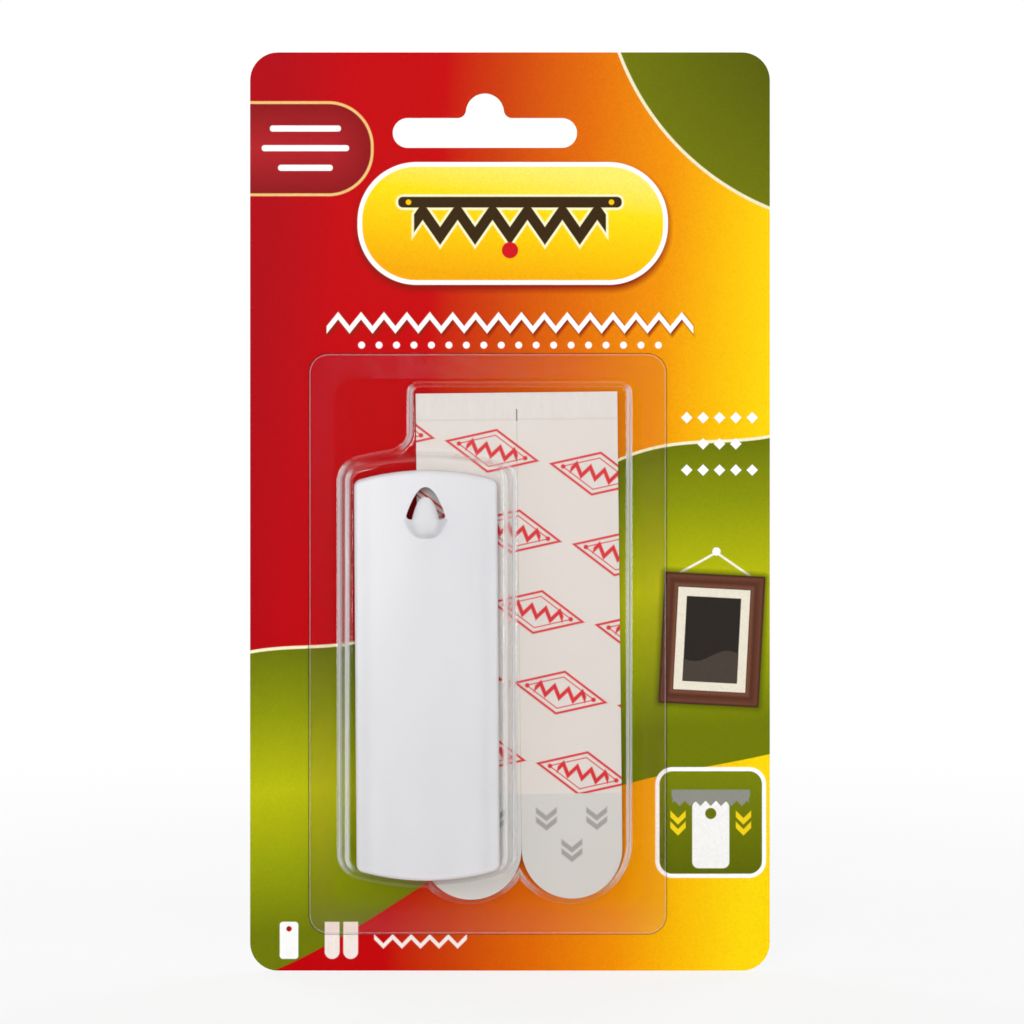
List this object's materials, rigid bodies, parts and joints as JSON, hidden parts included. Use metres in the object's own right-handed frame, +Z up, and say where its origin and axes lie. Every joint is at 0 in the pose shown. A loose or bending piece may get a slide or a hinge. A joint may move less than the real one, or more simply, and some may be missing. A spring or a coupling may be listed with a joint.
{
  "type": "carded sawtooth picture hanger",
  "caption": "Adhesive-strip picture hanger with a tooth for sawtooth mounts, packed with its foam strips in a clear stepped blister on a printed hang card.",
  "frame": {"origin": "centre of the hang slot's lobe, on the back face of the card", "axes": "+Z up the card, -Y out of its printed face, +X to the right as seen from the front"},
  "size_m": [0.0952, 0.0089, 0.1683],
  "materials": {
    "printed_board": "gloss",
    "seal_coat": "satin",
    "clear_sheet": "gloss",
    "moulded_plastic": "satin",
    "foam": "matte",
    "adhesive": "matte",
    "liner": "satin",
    "tab_film": "satin",
    "header_film": "satin"
  },
  "bodies": {
    "pack": {"backing_card": "printed_board", "seal_band": "seal_coat", "blister": "clear_sheet"},
    "hanger": {"hanger_body": "moulded_plastic"},
    "strips": {"foam_core_left": "foam", "foam_core_right": "foam", "wall_adhesive_left": "adhesive", "wall_adhesive_right": "adhesive", "hook_adhesive_left": "adhesive", "hook_adhesive_right": "adhesive", "wall_liner_left": "liner", "wall_liner_right": "liner", "hook_liner_left": "liner", "hook_liner_right": "liner", "tab_film_front_left": "tab_film", "tab_film_front_right": "tab_film", "tab_film_back_left": "tab_film", "tab_film_back_right": "tab_film", "header_film_front": "header_film", "header_film_back": "header_film"}
  },
  "joints": [
    {"name": "hanger_play", "type": "slide", "parent": "pack", "child": "hanger", "axis": [0, 0, 1], "range_m": [0, 0.0023]},
    {"name": "strips_play", "type": "slide", "parent": "pack", "child": "strips", "axis": [0, 0, 1], "range_m": [0, 0.001]}
  ]
}
